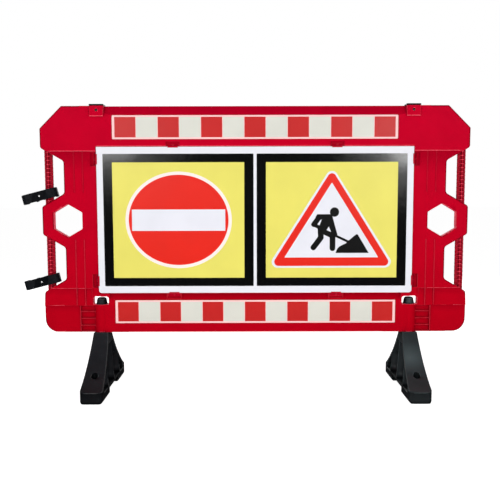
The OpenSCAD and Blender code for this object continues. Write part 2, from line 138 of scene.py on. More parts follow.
class Graph:
    """The node tree of one material or of the world, with short calls to add and join nodes."""

    def __init__(self, owner: Material | bpy.types.World) -> None:
        """Empties the owner's tree.

        Args:
            owner: the material or the world.
        """
        owner.use_nodes = True
        self.owner = owner
        self.tree = owner.node_tree
        self.tree.nodes.clear()

    @cached_property
    def coords(self) -> Socket:
        """The Object coordinates."""
        return self.node("ShaderNodeTexCoord").outputs["Object"]

    def node(
        self, kind: str, inputs: dict[str | int, Input] | None = None, **settings: Input
    ) -> bpy.types.Node:
        """Adds a node.

        Args:
            kind: Blender's name of the node type.
            inputs: a value or an output socket for each named input.
            settings: the node's own properties.

        Returns:
            The new node.
        """
        node = self.tree.nodes.new(kind)
        for key, value in settings.items():
            setattr(node, key, value)
        for key, value in (inputs or {}).items():
            if isinstance(value, Socket):
                self.tree.links.new(value, node.inputs[key])
            else:
                node.inputs[key].default_value = value
        return node

    @cache
    def along(self, axis: str) -> Socket:
        """One of the Object coordinates: X, Y or Z."""
        return self.node("ShaderNodeSeparateXYZ", {0: self.coords}).outputs[axis]

    def stretched(self, scale: Sequence[float], turn: Sequence[float] = (0, 0, 0)) -> Socket:
        """Object coordinates, turned and then scaled along each axis."""
        values = {"Vector": self.coords, "Scale": scale, "Rotation": turn}
        return self.node("ShaderNodeMapping", values).outputs[0]

    def noise(self, size: float, detail: float = 2.0, coords: Input = None) -> Socket:
        """Soft noise whose blobs are about size metres across."""
        values = {"Vector": coords or self.coords, "Scale": 1 / size, "Detail": detail}
        return self.node("ShaderNodeTexNoise", values).outputs["Fac"]

    def span(
        self, value: Input, low: float, high: float, to_low: float = 0.0, to_high: float = 1.0
    ) -> Socket:
        """Carries the values from low to high over to another span, and stops at its ends."""
        values = {"Value": value, "From Min": low, "From Max": high, "To Min": to_low, "To Max": to_high}
        return self.node("ShaderNodeMapRange", values).outputs[0]

    def maths(self, operation: str, a: Input, b: Input = 0.0) -> Socket:
        """One sum of two numbers or outputs."""
        return self.node("ShaderNodeMath", {0: a, 1: b}, operation=operation).outputs[0]

    def mixed(self, share: Input, a: Input, b: Input) -> Socket:
        """Mixes colour a with colour b by share."""
        return self.node("ShaderNodeMix", {0: share, 6: a, 7: b}, data_type="RGBA").outputs[2]

    def drifting(self, noise: Socket, colour: Colour, shade: float) -> Socket:
        """A colour that drifts with a noise to a darker shade of itself and back."""
        return self.mixed(self.span(noise, *NOISE_SPAN), linear(colour, shade), linear(colour))

    def gloss(self, noise: Socket, roughness: float, drift: Span) -> Socket:
        """A roughness that drifts with a noise, from the first step beside it to the second."""
        return self.span(noise, *NOISE_SPAN, *(roughness + step for step in drift))

    def bump(self, height: Input, depth: float, normal: Input = None) -> Socket:
        """A relief, laid over another relief if there is one.

        Args:
            height: the relief's height, from 0 to 1.
            depth: its depth in metres.
            normal: the relief below it.

        Returns:
            The normal of both.
        """
        values = {"Height": height, "Distance": depth, "Strength": 1.0}
        if normal is not None:
            values["Normal"] = normal
        return self.node("ShaderNodeBump", values).outputs[0]

    def attribute(self, name: str) -> Socket:
        """A number that the mesh carries on each face."""
        return self.node("ShaderNodeAttribute", attribute_name=name).outputs["Fac"]

    def finish(self, colour: Input, gloss: Input, sheen: Input, others: dict[str, Input]) -> Material:
        """Ends a material's tree in one surface shader.

        Args:
            colour: the surface's colour.
            gloss: its roughness.
            sheen: the level of its specular light.
            others: the shader's other inputs by name.

        Returns:
            The finished material.
        """
        values = {"Base Color": colour, "Roughness": gloss, "Specular IOR Level": sheen, **others}
        surface = self.node("ShaderNodeBsdfPrincipled", values)
        self.node("ShaderNodeOutputMaterial", {"Surface": surface.outputs[0]})
        return self.owner


@dataclass(frozen=True)
class Lap:
    """A lap with painted shadow below it: its height, how far down the shadow reaches and how dark it starts.
    """

    height: float
    reach: float
    share: float


@dataclass(frozen=True)
class SheenPatch:
    """A soft patch of painted sheen: its middle, how far it reaches and how pale it is there."""

    place: tuple[float, float, float]
    reach: float
    share: float


@dataclass(frozen=True)
class MouldedPlastic:
    """A moulded plastic with a mottled colour and a fine grain, worn pale in places, with painted highlight
    and painted shade.

    Worn edges, specks of dust, painted highlights and a painted sheen patch show the pale colour. Painted
    shade darkens and dulls the recesses, the faces marked dark and the stretch below each lap. A piece can
    have a darker colour low down, which is painted shade.
    """

    name: str
    colour: Colour
    scuff_and_highlight: Colour
    roughness: float = 0.42
    gloss_size: float = 14 * MM
    gloss_drift: Span = (-0.05, 0.06)
    grain: float = 0.8 * MM
    grain_depth: float = 0.02 * MM
    swell: float = 60 * MM
    swell_depth: float = 0.25 * MM
    cloud: float = 90 * MM
    shade: float = 0.9
    edge_share: float = 0.85
    edge_patch: float = 9 * MM
    edge_patch_span: Span = (0.3, 0.6)
    edge_least: float = 0.5
    # Painted shade on dark-marked faces: how much of it shows, and how bright the shaded colour stays.
    shade_mark_share: float = 0.85
    shade_tone: float = 0.3
    dust: float = 0.0
    dust_size: float = 2.2 * MM
    dust_span: Span = (0.62, 0.8)
    recess_share: float = 0.5
    recess_reach: float = 22 * MM
    recess_span: Span = (0.98, 0.6)
    specular: float = 0.2
    laps: tuple[Lap, ...] = ()
    laps_from: float = 0.0
    sheen_patch: SheenPatch | None = None
    low_colour: Colour | None = None
    low_span: Span = (260 * MM, 950 * MM)

    @cache
    def material(self) -> Material:
        """Builds the material at the first call.

        Returns:
            The same material at each call.
        """
        g = Graph(bpy.data.materials.new(self.name))
        mark = g.attribute(EDGE_ATTRIBUTE)
        painted_shade = self.painted_shade(g, mark)
        # Painted shade darkens the clean colour towards the shaded tone.
        colour = g.mixed(painted_shade, self.clean(g), linear(self.colour, self.shade_tone))
        # Worn edges, dust, painted highlights and the painted sheen patch turn the colour pale.
        colour = g.mixed(self.wear_and_light(g, mark), colour, linear(self.scuff_and_highlight))
        relief = g.bump(g.noise(self.swell, 1.0), self.swell_depth)
        relief = g.bump(g.noise(self.grain), self.grain_depth, relief)
        gloss = g.gloss(g.noise(self.gloss_size, 4.0), self.roughness, self.gloss_drift)
        # The specular light fades out where shade is painted.
        sheen = g.span(painted_shade, 0.0, 1.0, self.specular, 0.0)
        return g.finish(colour, gloss, sheen, {"Normal": relief})

    def clean(self, g: Graph) -> Socket:
        """The mottled colour below wear and soil.

        Args:
            g: the material's tree.

        Returns:
            The colour, which turns to the darker low colour further down: painted shade.
        """
        clouds = g.noise(self.cloud, 3.0)
        colour = g.drifting(clouds, self.colour, self.shade)
        if self.low_colour:
            low = g.drifting(clouds, self.low_colour, self.shade)
            colour = g.mixed(g.span(g.along("Z"), *self.low_span), low, colour)
        return colour

    def painted_shade(self, g: Graph, mark: Socket) -> Socket:
        """How thick the painted shade lies: the most of the shade painted in recesses, on dark-marked faces
        and below each lap.

        Args:
            g: the material's tree.
            mark: the faces' marks.

        Returns:
            The painted shade, from 0 to 1.
        """
        # Painted shade in recesses, from ambient occlusion.
        sky = g.node("ShaderNodeAmbientOcclusion", {"Distance": self.recess_reach}, samples=8).outputs["AO"]
        recess = g.span(sky, *self.recess_span, 0.0, self.recess_share)
        painted_shade = g.maths("MAXIMUM", recess, g.span(mark, 0.0, -1.0, 0.0, self.shade_mark_share))
        return g.maths("MAXIMUM", painted_shade, self.shadow_below_laps(g)) if self.laps else painted_shade

    def shadow_below_laps(self, g: Graph) -> Socket:
        """The painted shadow below each lap, away from the panel's middle.

        Args:
            g: the material's tree.

        Returns:
            The painted shadow: thickest at a lap and gone at the end of its reach.
        """
        painted_shade: Input = 0.0
        for lap in self.laps:
            fading = g.span(g.along("Z"), lap.height - lap.reach, lap.height, 0.0, lap.share)
            below = g.maths("LESS_THAN", g.along("Z"), lap.height)
            painted_shade = g.maths("MAXIMUM", painted_shade, g.maths("MULTIPLY", fading, below))
        aside = g.maths("ABSOLUTE", g.maths("SUBTRACT", g.along("X"), PANEL_MIDDLE))
        return g.maths("MULTIPLY", painted_shade, g.maths("GREATER_THAN", aside, self.laps_from))

    def wear_and_light(self, g: Graph, mark: Socket) -> Socket:
        """How pale it is: the most of what the patchy marked edges (worn or with painted highlight), the dust
        and the painted sheen patch show.

        Args:
            g: the material's tree.
            mark: the faces' marks.

        Returns:
            The paleness, from 0 to 1.
        """
        patchy = g.span(g.noise(self.edge_patch, 4.0), *self.edge_patch_span, self.edge_least, 1.0)
        wear_and_light = g.maths("MULTIPLY", g.span(mark, 0.0, 1.0, 0.0, self.edge_share), patchy)
        dust = g.span(g.noise(self.dust_size, 5.0), *self.dust_span, 0.0, self.dust)
        wear_and_light = g.maths("MAXIMUM", wear_and_light, dust)
        # Painted sheen: a soft pale patch about one point.
        if self.sheen_patch:
            away = g.node("ShaderNodeVectorMath", {0: g.coords, 1: self.sheen_patch.place}, operation="DISTANCE")
            painted_sheen = g.span(away.outputs["Value"], self.sheen_patch.reach, 0.0, 0.0, self.sheen_patch.share)
            wear_and_light = g.maths("MAXIMUM", wear_and_light, painted_sheen)
        return wear_and_light


@dataclass(frozen=True)
class CellFilm:
    """A reflective film: small sealed cells in a slanted lattice under a smooth clear face."""

    name: str
    colour: Colour
    seam: Colour
    cell: float = 4.2 * MM
    slant: float = math.radians(38)
    seam_share: float = 0.35
    seam_span: Span = (0.86, 0.98)
    roughness: float = 0.34
    gloss_drift: Span = (-0.06, 0.06)
    depth: float = 0.03 * MM
    sparkle: float = 1.1 * MM
    sparkle_share: float = 0.35
    cloud: float = 120 * MM
    shade: float = 0.93
    specular: float = 0.25

    @cache
    def material(self) -> Material:
        """Builds the material at the first call.

        Returns:
            The same material at each call.
        """
        g = Graph(bpy.data.materials.new(self.name))
        colour = g.drifting(g.noise(self.cloud, 3.0), self.colour, self.shade)
        lines = g.maths("MAXIMUM", self.stripes(g, self.slant), self.stripes(g, -self.slant))
        seams = g.span(lines, *self.seam_span)
        colour = g.mixed(g.maths("MULTIPLY", seams, self.seam_share), colour, linear(self.seam))
        sparkle = g.noise(self.sparkle, 3.0)
        relief = g.bump(seams, self.depth, g.bump(sparkle, self.sparkle_share * self.depth))
        gloss = g.gloss(sparkle, self.roughness, self.gloss_drift)
        return g.finish(colour, gloss, self.specular, {"Normal": relief})

    def stripes(self, g: Graph, turn: float) -> Socket:
        """Stripes one cell apart, turned in the plane of the front."""
        wave = {"Vector": g.stretched((1, 1, 1), (0, turn, 0)), "Scale": WAVE_PITCH / self.cell}
        return g.node("ShaderNodeTexWave", wave, bands_direction="X").outputs["Fac"]


@dataclass(frozen=True)
class PaintedBoard:
    """A stiff white board: faint rolled streaks, stains and a soft sheen."""

    name: str
    colour: Colour
    streak: Colour
    streak_size: float = 6 * MM
    streak_stretch: float = 0.04
    streak_span: Span = (0.45, 0.75)
    streak_share: float = 0.5
    streak_depth: float = 0.03 * MM
    stain_size: float = 70 * MM
    stain_span: Span = (0.45, 0.8)
    stain_share: float = 0.6
    grain: float = 0.7 * MM
    grain_depth: float = 0.01 * MM
    roughness: float = 0.38
    gloss_drift: Span = (-0.05, 0.07)
    specular: float = 0.25

    @cache
    def material(self) -> Material:
        """Builds the material at the first call.

        Returns:
            The same material at each call.
        """
        g = Graph(bpy.data.materials.new(self.name))
        rolled = g.noise(self.streak_size, 4.0, g.stretched((self.streak_stretch, 1, 1)))
        streaks = g.span(rolled, *self.streak_span, 0.0, self.streak_share)
        stains = g.span(g.noise(self.stain_size, 4.0), *self.stain_span, 0.0, self.stain_share)
        colour = g.mixed(g.maths("MAXIMUM", streaks, stains), linear(self.colour), linear(self.streak))
        relief = g.bump(rolled, self.streak_depth, g.bump(g.noise(self.grain), self.grain_depth))
        gloss = g.gloss(rolled, self.roughness, self.gloss_drift)
        return g.finish(colour, gloss, self.specular, {"Normal": relief})


Finish = MouldedPlastic | CellFilm | PaintedBoard

# Painted shadow below the panel's ledge and its two laps, away from its middle.
PANEL_LAPS = Lap(846 * MM, 80 * MM, 0.48), Lap(363 * MM, 25 * MM, 0.36), Lap(302 * MM, 25 * MM, 0.36)
RED_MOULDING = MouldedPlastic(
    "red_plastic", (198, 0, 39), (255, 98, 118), edge_share=1.0, specular=0.012,
    # The darker colour towards the bottom is painted shade.
    laps=PANEL_LAPS, laps_from=572 * MM, low_colour=(184, 0, 24),
)
# A darker copy of the red moulding for the bars and the board clips: painted shade, with more painted shade
# in recesses.
SHADED_RED_MOULDING = MouldedPlastic(
    "shaded_red_plastic", (182, 0, 32), (255, 92, 114), edge_share=1.0, recess_share=0.65, specular=0.02
)
BLACK_MOULDING = MouldedPlastic(
    "black_plastic", (34, 36, 40), (122, 126, 126), roughness=0.52, grain=1.3 * MM, grain_depth=0.06 * MM,
    cloud=45 * MM, shade=0.75, edge_share=0.5, shade_mark_share=0.95, shade_tone=0.12, dust=0.2, recess_share=0.95,
    # Painted shade below a low lap on the foot.
    laps=(Lap(38 * MM, 60 * MM, 0.8),),
)
# The right foot's lighter copy of the black moulding, painted light for the brighter lamp light on that foot.
# Its patch is a painted sheen, and its second lap paints shade below the foot's top.
LIT_BLACK_MOULDING = replace(
    BLACK_MOULDING, name="lit_black", colour=(49, 56, 59), scuff_and_highlight=(112, 130, 133), roughness=0.45,
    specular=0.4, laps=(Lap(38 * MM, 60 * MM, 0.75), Lap(207 * MM, 50 * MM, 0.3)),
    sheen_patch=SheenPatch((PANEL_MIDDLE + 536 * MM, -88 * MM, 124 * MM), 64 * MM, 0.33),
)
BLACK_CLIP = MouldedPlastic(
    "black_clip", (5, 8, 12), (96, 101, 108), grain=1.3 * MM, grain_depth=0.06 * MM, cloud=45 * MM,
    shade=0.75, edge_share=0.4, shade_mark_share=0.0, dust=0.1, specular=0.08,
)
WHITE_BOARD = PaintedBoard("board_paint", (232, 233, 240), (222, 224, 234))
BLACK_SHEET = CellFilm("black_sheet", (7, 7, 8), (18, 18, 21), roughness=0.1, specular=0.8)
YELLOW_FIELD = CellFilm("yellow_field", (231, 222, 97), (238, 231, 140), specular=0.3)
SIGN_RED = CellFilm("sign_red", (229, 24, 3), (233, 46, 26), specular=0.3)
SIGN_RIM = CellFilm("sign_rim", (250, 236, 231), (252, 244, 240))
SIGN_WHITE = CellFilm("sign_white", (230, 231, 240), (241, 242, 248))
SIGN_BLACK = CellFilm("sign_black", (9, 9, 10), (22, 22, 25))
CARRIER = CellFilm("carrier_film", (255, 206, 205), (255, 222, 220))
RED_FILM = CellFilm("red_cells", (197, 20, 20), (208, 52, 48), specular=0.3)
SILVER_FILM = CellFilm("silver_cells", (218, 218, 208), (234, 234, 226))


def new_object(name: str, data: bpy.types.ID) -> Piece:
    """Links a mesh, a lamp or a camera into the scene as an object at the origin.

    Args:
        name: the object's name.
        data: what it shows.

    Returns:
        The object.
    """
    made = bpy.data.objects.new(name, data)
    bpy.context.scene.collection.objects.link(made)
    return made


def middle_of(node: str) -> np.ndarray:
    """The middle of a node's box: half the sum of its low and its high corner."""
    return np.sum(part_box(node), axis=0) / 2


def rows(
    group: bpy.types.bpy_prop_collection, name: str, width: int = 1, kind: type = np.float32
) -> np.ndarray:
    """Reads one property of all of a mesh's faces, triangles or points.

    Args:
        group: the faces, triangles or points.
        name: the property.
        width: how many numbers each of them has.
        kind: the type of number.

    Returns:
        The numbers, with a row for each where it has more than one.
    """
    values = np.empty(len(group) * width, kind)
    group.foreach_get(name, values)
    return values if width == 1 else values.reshape(-1, width)


def paint_light(piece: Piece, value: float, test: FaceTest) -> None:
    """Paints light on some faces of a piece with a mark: pale for painted highlight or reflection, dark for
    painted shade.

    Args:
        piece: the piece, which carries the mark on its faces.
        value: their mark.
        test: picks the faces.
    """
    faces = piece.data.polygons
    layer = piece.data.attributes[EDGE_ATTRIBUTE].data
    marks = rows(layer, "value")
    marks[test(rows(faces, "center", 3), rows(faces, "normal", 3))] = value
    layer.foreach_set("value", marks)


def dress(piece: Piece, finish: Finish) -> Piece:
    """Gives all of a piece one finish.

    Args:
        piece: the piece.
        finish: its finish.

    Returns:
        The same piece.
    """
    if not piece.material_slots:
        piece.data.materials.append(finish.material())
    for place in piece.material_slots:
        place.material = finish.material()
    return piece


def settle(piece: Piece, body: Body, slot: Slot, finish: Finish, *nodes: str) -> Piece:
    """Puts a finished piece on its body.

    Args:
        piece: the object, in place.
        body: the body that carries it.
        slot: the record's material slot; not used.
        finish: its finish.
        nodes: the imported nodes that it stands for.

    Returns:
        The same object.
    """
    dress(piece, finish)
    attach(piece, body.value)
    if nodes:
        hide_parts(*nodes)
    return piece


@dataclass(frozen=True)
class Round:
    """One pass of rounding: its radius, the steps of its arc and a test that picks its edges.

    Its rounds carry one mark where they face sideways, under where they face down and over where they face
    up. A positive mark shows pale, as a worn edge or a painted highlight, and a negative one shows painted
    shade. A round may take a share of a face's breadth.
    """

    radius: float
    steps: int = 2
    wear_and_light: float = 0.35
    under: float = 1.0
    over: float = -0.3
    share: float = 0.3
    picks: Callable[[Edge], bool] = lambda edge: True


@dataclass(frozen=True)
class Rounding:
    """How the sharp edges of a moulded piece are rounded, widest radius first.

    An edge gets a radius where that leaves room on both of its faces and on the edges at its ends. Edges
    whose round would still fold a face over stay sharp: those within fold_reach radii of a face that is
    folded onto its neighbour by the angle knife, or of a triangle that leans away from its own face by more
    than the cosine turned allows.
    """

    rounds: tuple[Round, ...]
    end_share: float = 0.42
    sharp: float = math.radians(28)
    straight: float = math.radians(150)
    merge: float = 0.01 * MM
    flat: float = math.radians(0.15)
    tries: int = 8
    fold_reach: float = 2.2
    knife: float = math.radians(165)
    turned: float = 0.5

    def room(self, edge: Edge, face_share: float) -> float:
        """The largest radius that fits one edge.

        Args:
            edge: the edge.
            face_share: the part of its faces' breadth that a round may take.

        Returns:
            The least of that share of its two faces' breadth and the end share of its neighbours' reach.
        """
        along = (edge.verts[1].co - edge.verts[0].co).normalized()
        limits = []
        for loop in edge.link_loops:
            across = loop.face.normal.cross(along)
            reach = [corner.co.dot(across) for corner in loop.face.verts]
            limits.append(face_share * (max(reach) - min(reach)))
            last, after = loop.link_loop_prev, loop.link_loop_next
            for corner, own_end, far_end in (
                (loop.vert, after.vert, last.vert),
                (after.vert, loop.vert, after.link_loop_next.vert),
            ):
                neighbour = far_end.co - corner.co
                angle = (own_end.co - corner.co).angle(neighbour, math.pi)
                if angle < self.straight:
                    limits.append(self.end_share * neighbour.length * math.sin(angle))
        return min(limits)

    def blank(self, node: str, cuts: Sequence[Cut]) -> Mesh:
        """A copy of a node's mesh, merged into flat faces.

        Args:
            node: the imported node.
            cuts: planes that split its faces, at holes and where marks change.

        Returns:
            The copy.
        """
        bm = bmesh.new()
        bm.from_mesh(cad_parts[node].data)
        bm.faces.layers.float.new(EDGE_ATTRIBUTE)
        bmesh.ops.remove_doubles(bm, verts=bm.verts, dist=self.merge)
        for axis, place in cuts:
            normal = Vector([float(i == axis) for i in range(3)])
            plane = {"plane_co": normal * place, "plane_no": normal}
            bmesh.ops.bisect_plane(bm, geom=[*bm.verts, *bm.edges, *bm.faces], dist=self.merge, **plane)
            for edge in bm.edges:
                if all(abs(end.co[axis] - place) < 2 * self.merge for end in edge.verts):
                    edge.seam = True
        bmesh.ops.dissolve_limit(
            bm, angle_limit=self.flat, verts=bm.verts, edges=bm.edges, delimit={"SEAM"}
        )
        return bm

    def folds(self, bm: Mesh) -> np.ndarray:
        """Finds triangles turned away from their own face, and faces folded onto a neighbour.

        Args:
            bm: the mesh.

        Returns:
            Their corners, as rows.
        """
        mesh = bpy.data.meshes.new("trial")
        bm.to_mesh(mesh)
        mesh.calc_loop_triangles()
        triangles = mesh.loop_triangles
        own_face = rows(triangles, "polygon_index", kind=np.int32)
        cosines = (rows(triangles, "normal", 3) * rows(mesh.polygons, "normal", 3)[own_face]).sum(1)
        turned = (cosines < self.turned) & (rows(triangles, "area") > self.merge**2)
        corners = np.unique(rows(triangles, "vertices", 3, np.int32)[turned])
        points = rows(mesh.vertices, "co", 3)[corners]
        bpy.data.meshes.remove(mesh)
        knives = [edge for edge in bm.edges if edge.calc_face_angle(0.0) > self.knife]
        folded = np.reshape([end.co for edge in knives for end in edge.verts], (-1, 3))
        return np.concatenate([points, folded])

    def rounded(self, bm: Mesh, step: Round) -> Mesh:
        """Makes one pass of rounding.

        Args:
            bm: the mesh before it, which is used up.
            step: the pass.

        Returns:
            The mesh after it.
        """
        bm.edges.ensure_lookup_table()
        chosen = np.array([
            edge.index
            for edge in bm.edges
            if len(edge.link_faces) == 2
            and edge.calc_face_angle_signed() > self.sharp
            and step.picks(edge)
            and self.room(edge, step.share) >= step.radius
        ], int)
        for _ in range(self.tries):
            trial = bm.copy()
            trial.edges.ensure_lookup_table()
            made = bmesh.ops.bevel(
                trial, geom=[trial.edges[i] for i in chosen], offset=step.radius, offset_type="OFFSET",
                segments=step.steps, profile=0.5, affect="EDGES", loop_slide=True, material=-1,
            )
            trial.normal_update()
            # The rounds' marks: pale for worn edges and painted highlight, dark for painted shade.
            wear_and_light = trial.faces.layers.float[EDGE_ATTRIBUTE]
            for face in made["faces"]:
                rise = face.normal.z
                face[wear_and_light] = step.wear_and_light + abs(rise) * ((step.over if rise > 0 else step.under) - step.wear_and_light)
            kept = self.clear_of(bm, chosen, self.folds(trial), self.fold_reach * step.radius)
            if len(kept) == len(chosen):
                break
            chosen = kept
        bm.free()
        return trial

    def clear_of(self, bm: Mesh, chosen: np.ndarray, bad: np.ndarray, reach: float) -> np.ndarray:
        """The chosen edges that stay clear of all bad points.

        Args:
            bm: the mesh of the edges.
            chosen: the edges' numbers.
            bad: the points to stay clear of.
            reach: how far to stay clear.

        Returns:
            The numbers of the edges whose nearest point is further away than that.
        """
        if not len(bad) or not len(chosen):
            return chosen
        ends = np.array([[end.co for end in bm.edges[i].verts] for i in chosen])
        along = ends[:, 1] - ends[:, 0]
        share = ((bad[None] - ends[:, None, 0]) * along[:, None]).sum(2) / (along**2).sum(1)[:, None]
        nearest = ends[:, None, 0] + np.clip(share, 0, 1)[..., None] * along[:, None]
        return chosen[np.linalg.norm(bad[None] - nearest, axis=2).min(1) > reach]

    def copy(self, node: str, name: str, cuts: Sequence[Cut] = ()) -> Piece:
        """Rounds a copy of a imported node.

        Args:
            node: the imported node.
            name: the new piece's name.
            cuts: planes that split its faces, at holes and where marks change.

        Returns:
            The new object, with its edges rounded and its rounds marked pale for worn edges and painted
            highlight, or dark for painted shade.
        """
        bm = self.blank(node, cuts)
        for step in self.rounds:
            bm = self.rounded(bm, step)
        bmesh.ops.dissolve_degenerate(bm, dist=self.merge, edges=bm.edges)
        wide = [face for face in bm.faces if len(face.verts) > 4]
        bmesh.ops.triangulate(bm, faces=wide, quad_method="BEAUTY", ngon_method="BEAUTY")
        mesh = bpy.data.meshes.new(name)
        bm.to_mesh(mesh)
        bm.free()
        piece = new_object(name, mesh)
        mesh.shade_smooth()
        piece.modifiers.new("Flats", "WEIGHTED_NORMAL").keep_sharp = True
        return piece


def arc_outline(points: Sequence[Sequence[float]], radii: Sequence[float], steps: int = 10) -> np.ndarray:
    """A closed outline with each corner rounded by an arc.

    An arc's centre lies inwards from the corner on the line that halves it, at the radius over the sine of
    half the corner's angle. The arc sweeps a right angle less that half angle to each side.

    Args:
        points: the corners, in order.
        radii: the radius at each corner.
        steps: the points of each arc.

    Returns:
        The outline's points as rows.
    """
    p = np.asarray(points, float)
    to_last = np.roll(p, 1, axis=0) - p
    to_next = np.roll(p, -1, axis=0) - p
    a = to_last / np.linalg.norm(to_last, axis=1, keepdims=True)
    b = to_next / np.linalg.norm(to_next, axis=1, keepdims=True)
    half = np.arccos(np.clip((a * b).sum(1), -1, 1)) / 2
    inward = (a + b) / np.linalg.norm(a + b, axis=1, keepdims=True)
    radius = np.asarray(radii, float)
    centre = p + inward * (radius / np.sin(half))[:, None]
    sweep = np.linspace(-1, 1, steps)[None, :] * (math.pi / 2 - half)[:, None]
    side = (b - a) / np.linalg.norm(b - a, axis=1, keepdims=True)
    rim = -inward[:, None] * np.cos(sweep)[..., None] + side[:, None] * np.sin(sweep)[..., None]
    return (centre[:, None] + rim * radius[:, None, None]).reshape(-1, 2)


def ellipse(centre: Sequence[float], width: float, height: float, steps: int = 128) -> np.ndarray:
    """An ellipse: its centre plus half its width by the cosine and half its height by the sine."""
    angle = np.linspace(0, 2 * math.pi, steps, endpoint=False)
    return np.asarray(centre, float) + np.stack([np.cos(angle) * width, np.sin(angle) * height], 1) / 2


def rectangle(low: Sequence[float], high: Sequence[float], radius: float) -> np.ndarray:
    """A rectangle with round corners, from its low corner to its high one."""
    corners = [(low[0], low[1]), (high[0], low[1]), (high[0], high[1]), (low[0], high[1])]
    return arc_outline(corners, [radius] * 4)


def triangle(half: float, base: float, apex: float, radius: float) -> np.ndarray:
    """A triangle with round corners: half its width, its base's and apex's heights and its radius."""
    return arc_outline([(-half, base), (half, base), (0, apex)], [radius] * 3)


def stroke(start: Sequence[float], end: Sequence[float], half: float, steps: int = 12) -> np.ndarray:
    """The outline of a straight limb with round ends: a half circle about each end.

    Args:
        start: the middle of the first half circle.
        end: the middle of the second.
        half: half the limb's breadth, which is the radius of both.
        steps: the points of each half circle.

    Returns:
        The outline's points as rows.
    """
    s, e = np.asarray(start, float), np.asarray(end, float)
    heading = math.atan2(*(e - s)[::-1])
    turn = heading + np.linspace(-math.pi / 2, math.pi / 2, steps)
    cap = np.stack([np.cos(turn), np.sin(turn)], 1) * half
    return np.concatenate([e + cap, s - cap])


@dataclass
class Plates:
    """Thin flat plates, facing the front, gathered into one mesh.

    Each plate is a closed surface over the outline and four levels: the middle of its back, the outline at
    the back, the outline at the front, and the middle of its front.
    """

    points: list[np.ndarray] = field(default_factory=list)
    faces: list[list[int]] = field(default_factory=list)

    def add(self, outline: np.ndarray, back: float, front: float) -> None:
        """Adds one plate.

        Args:
            outline: its points in x and z, in metres, seen whole from their mean point.
            back: the y of its back.
            front: the y of its front.
        """
        edge = np.roll(outline, -1, axis=0)
        if (outline[:, 0] * edge[:, 1] - outline[:, 1] * edge[:, 0]).sum() < 0:
            outline = outline[::-1]
        n = len(outline)
        middle = outline.mean(0)
        rings = [np.insert(outline, 1, y, axis=1) for y in (back, front)]
        poles = np.array([[middle[0], back, middle[1]], [middle[0], front, middle[1]]])
        first = sum(map(len, self.points))
        self.points.append(np.concatenate([*rings, poles]))
        here = np.arange(n)
        following = (here + 1) % n
        fans = [
            np.stack([np.full(n, 2 * n), following, here], 1),
            np.stack([np.full(n, 2 * n + 1), here + n, following + n], 1),
        ]
        wall = np.stack([here, following, following + n, here + n], 1)
        for group in (*fans, wall):
            self.faces.extend((group + first).tolist())

    def made(self, name: str) -> Piece:
        """Makes the gathered plates one object.

        Args:
            name: its name.

        Returns:
            The object.
        """
        mesh = bpy.data.meshes.new(name)
        mesh.from_pydata(np.concatenate(self.points).tolist(), [], self.faces)
        mesh.validate()
        return new_object(name, mesh)


